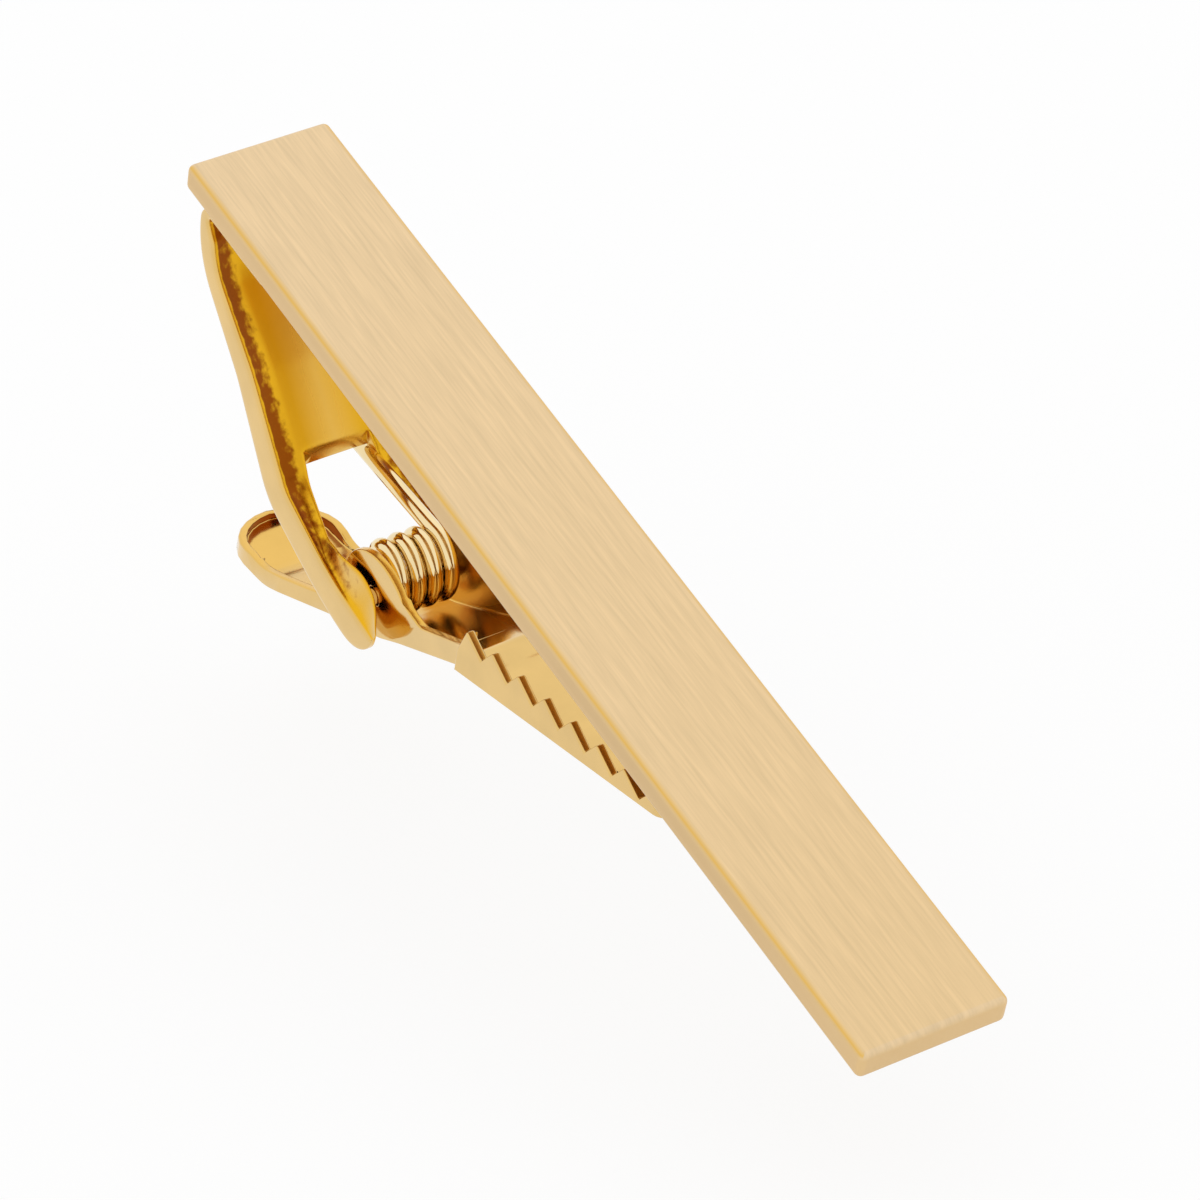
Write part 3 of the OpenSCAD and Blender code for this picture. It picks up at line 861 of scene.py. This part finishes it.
class CLIP_OT_small_parts(bpy.types.Operator):
    """Make the turned pivot pin, and plate the solder seam, which keeps its shape"""

    bl_idname = "clip.small_parts"
    bl_label = "Pin and solder"

    def execute(self, context):
        radius, length, edge = 0.4, 4.88, 0.1
        bm = bmesh.new()
        bmesh.ops.create_cone(
            bm, cap_ends=True, cap_tris=False, segments=40, radius1=radius, radius2=radius, depth=length
        )
        ends = [e for e in bm.edges if abs(e.verts[0].co.z - e.verts[1].co.z) < length / 2]
        round_edges(bm, ends, edge, segments=4)
        bmesh.ops.rotate(bm, cent=(0, 0, 0), matrix=Matrix.Rotation(math.radians(90), 3, "X"), verts=bm.verts)
        bmesh.ops.translate(bm, vec=PIVOT, verts=bm.verts)
        piece = finished(bm, "turned_pin", "frame", "pin_gold")
        piece.data.set_sharp_from_angle(angle=math.radians(40))
        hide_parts("pivot_pin")
        seam = frame["nodes"]["solder_seam"]
        seam.data.materials.clear()
        seam.data.materials.append(shared_gold("solder"))
        return {"FINISHED"}


class CLIP_OT_stage(bpy.types.Operator):
    """Set up the floor, the soft light and the camera"""

    bl_idname = "clip.stage"
    bl_label = "Studio"

    def execute(self, context):
        scene = context.scene
        look = scene.clip_stage
        self.add_floor(look)
        self.add_surroundings(scene)
        self.add_lamp(scene, look)
        self.add_camera(scene, look)
        scene.view_settings.view_transform = "Standard"
        return {"FINISHED"}

    @staticmethod
    def plainly_seen(tree):
        """1 for rays that come from the camera, a reflection or through glass, and 0 for the others"""
        ray = add_node(tree, "ShaderNodeLightPath", {}).outputs
        outward = worked_out(tree, "MAXIMUM", ray["Is Camera Ray"], ray["Is Glossy Ray"])
        return worked_out(tree, "MAXIMUM", outward, ray["Is Transmission Ray"])

    def add_floor(self, look):
        """A plain floor that is seen nearly white and keeps a soft shadow"""
        half_size, glow_share = 1.5, 0.8
        bm = bmesh.new()
        bmesh.ops.create_grid(bm, x_segments=2, y_segments=2, size=half_size)
        bmesh.ops.translate(bm, vec=(0, 0, -look.floor_drop * MM), verts=bm.verts)
        material, tree, shader = new_material("studio_white")
        shader.inputs["Base Color"].default_value = (0.95, 0.95, 0.95, 1)
        shader.inputs["Roughness"].default_value = 0.9
        glow = add_node(tree, "ShaderNodeEmission", {"Strength": 1.0})
        share = worked_out(tree, "MULTIPLY", self.plainly_seen(tree), glow_share)
        mix = add_node(tree, "ShaderNodeMixShader", {0: share, 1: shader.outputs[0], 2: glow.outputs[0]})
        tree.links.new(mix.outputs[0], tree.nodes["Material Output"].inputs["Surface"])
        floor = placed(bm, "floor", material)

    @staticmethod
    def add_surroundings(scene):
        """White all round, which lights the clip softly and shows in its polish"""
        world = bpy.data.worlds.new("studio")
        scene.world = world
        world.use_nodes = True
        white = world.node_tree.nodes["Background"]
        white.inputs["Color"].default_value = (1, 1, 1, 1)
        white.inputs["Strength"].default_value = 1.0

    @staticmethod
    def add_lamp(scene, look):
        """A weak soft lamp, above and behind the clip's hinge end"""
        lamp = bpy.data.lights.new("key", "AREA")
        lamp.energy = look.key
        lamp.size = 0.3
        key = bpy.data.objects.new("key", lamp)
        scene.collection.objects.link(key)
        place = Vector((-0.24, 0.2, 0.34))
        key.matrix_world = Matrix.Translation(place) @ place.to_track_quat("Z", "Y").to_matrix().to_4x4()

    @staticmethod
    def add_camera(scene, look):
        """The camera, placed and turned in the clip's own axes, at the photograph's viewing angle"""
        place, turns = (167.544, -107.742, 183.573), (("Z", 59.0908), ("Y", -6.6635), ("X", 43.1537))
        view = STAND @ Matrix.Translation(place)
        for axis, angle in turns:
            view = view @ Matrix.Rotation(math.radians(angle), 4, axis)
        lens = bpy.data.cameras.new("camera")
        lens.lens = look.lens
        lens.sensor_width = 36.0
        lens.sensor_fit = "HORIZONTAL"
        lens.clip_start = 0.01
        lens.clip_end = 20
        camera = bpy.data.objects.new("camera", lens)
        scene.collection.objects.link(camera)
        camera.matrix_world = Matrix.LocRotScale(view.to_translation(), view.to_quaternion(), None)
        scene.camera = camera


class CLIP_PT_panel(bpy.types.Panel):
    """The clip's pieces, in the order they are made"""

    bl_label = "Tie Clip"
    bl_idname = "CLIP_PT_panel"
    bl_space_type = "VIEW_3D"
    bl_region_type = "UI"
    bl_category = "Tie Clip"

    def draw(self, context):
        for step in STEPS:
            self.layout.operator(step.bl_idname)


STEPS = (CLIP_OT_bar, CLIP_OT_bracket, CLIP_OT_lever, CLIP_OT_spring, CLIP_OT_small_parts, CLIP_OT_stage)
GROUPS = {
    "clip_finish": ClipFinish,
    "clip_bar": BarSizes,
    "clip_bracket": BracketSizes,
    "clip_lever": LeverSizes,
    "clip_spring": SpringSizes,
    "clip_stage": StageLook,
}


def register():
    for group in GROUPS.values():
        bpy.utils.register_class(group)
    for step in STEPS:
        bpy.utils.register_class(step)
    bpy.utils.register_class(CLIP_PT_panel)
    for name, group in GROUPS.items():
        setattr(bpy.types.Scene, name, PointerProperty(type=group))


def unregister():
    for name in GROUPS:
        delattr(bpy.types.Scene, name)
    bpy.utils.unregister_class(CLIP_PT_panel)
    for step in reversed(STEPS):
        bpy.utils.unregister_class(step)
    for group in reversed(list(GROUPS.values())):
        bpy.utils.unregister_class(group)


def main():
    register()
    bpy.ops.clip.bar()
    bpy.ops.clip.bracket()
    bpy.ops.clip.lever()
    bpy.ops.clip.spring()
    bpy.ops.clip.small_parts()
    bpy.ops.clip.stage()


if __name__ == "__main__":
    main()
